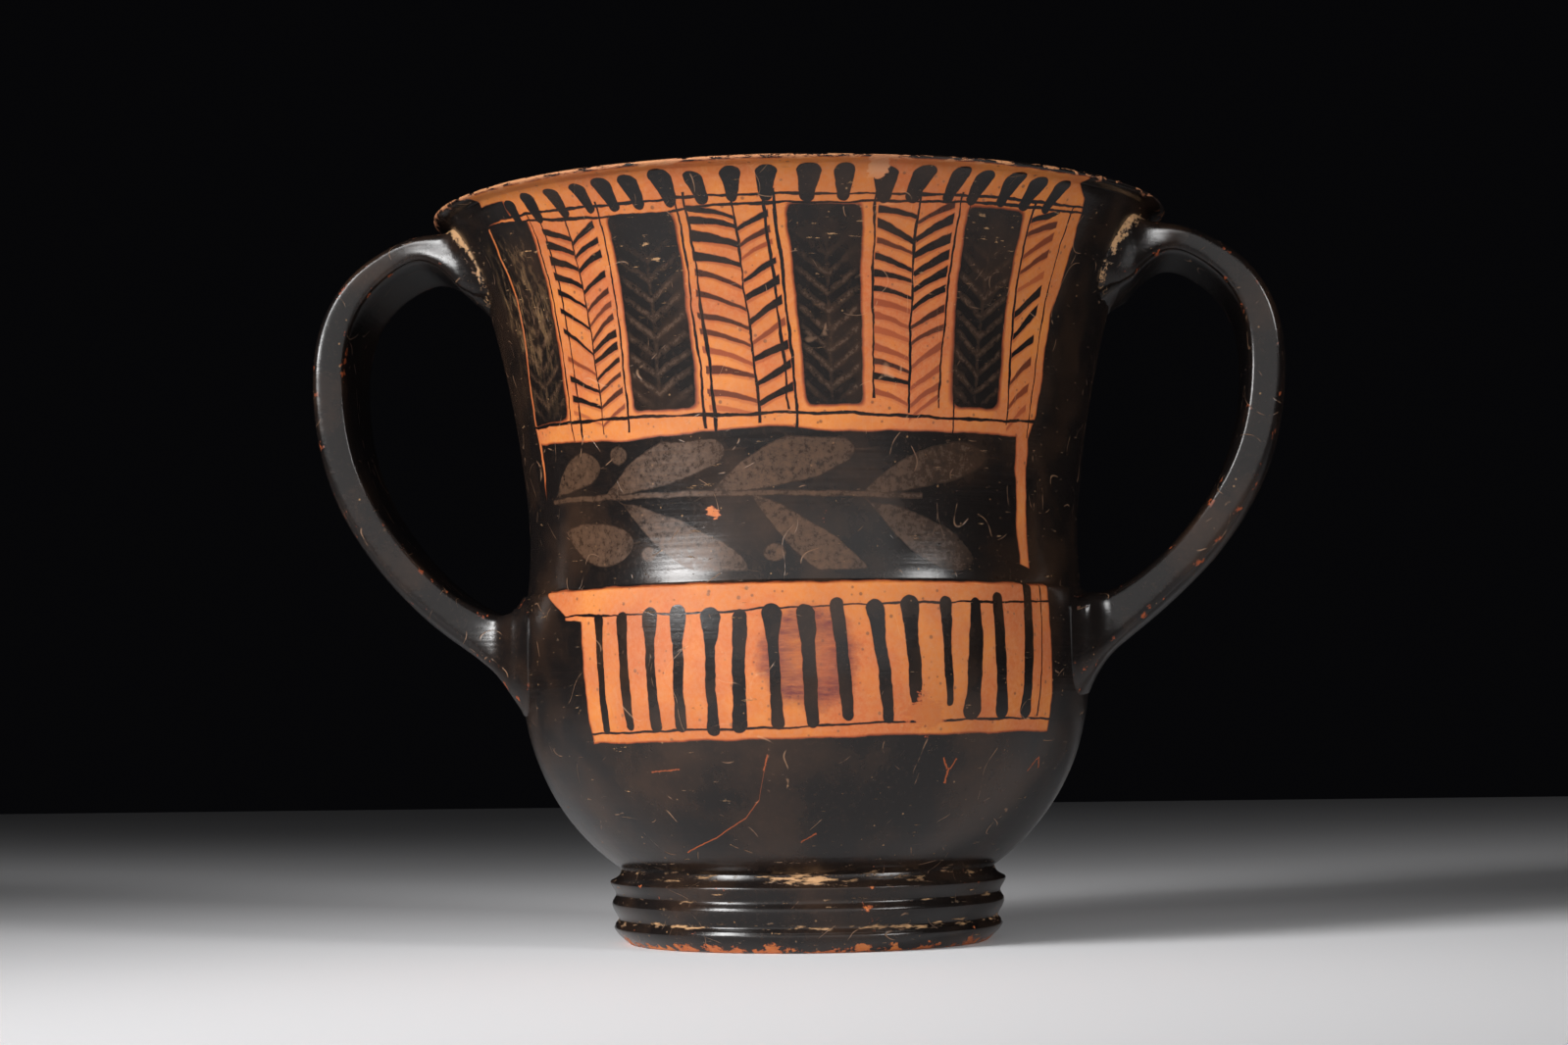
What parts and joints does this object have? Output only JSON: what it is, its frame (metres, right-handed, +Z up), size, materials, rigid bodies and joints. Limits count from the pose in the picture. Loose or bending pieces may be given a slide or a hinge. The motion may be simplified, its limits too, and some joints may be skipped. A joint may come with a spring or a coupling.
{
  "type": "kantharos drinking cup",
  "caption": "Black-glazed clay drinking cup with a deep bowl, a tall flaring neck, a moulded ring foot and a high strap handle on each side.",
  "frame": {"origin": "centre of the foot's resting ring, on the plane that the cup stands on", "axes": "+Z up along the cup's turning axis; +X from the cup's axis to the right-hand handle as seen from the painted front; the front faces -Y"},
  "size_m": [0.1749, 0.132, 0.1296],
  "materials": {
    "black_glaze": "glossy black slip over orange clay, worn and scratched, with reserved orange bands of painted ornament"
  },
  "bodies": {
    "root": {"kantharos": "black_glaze"}
  },
  "joints": []
}
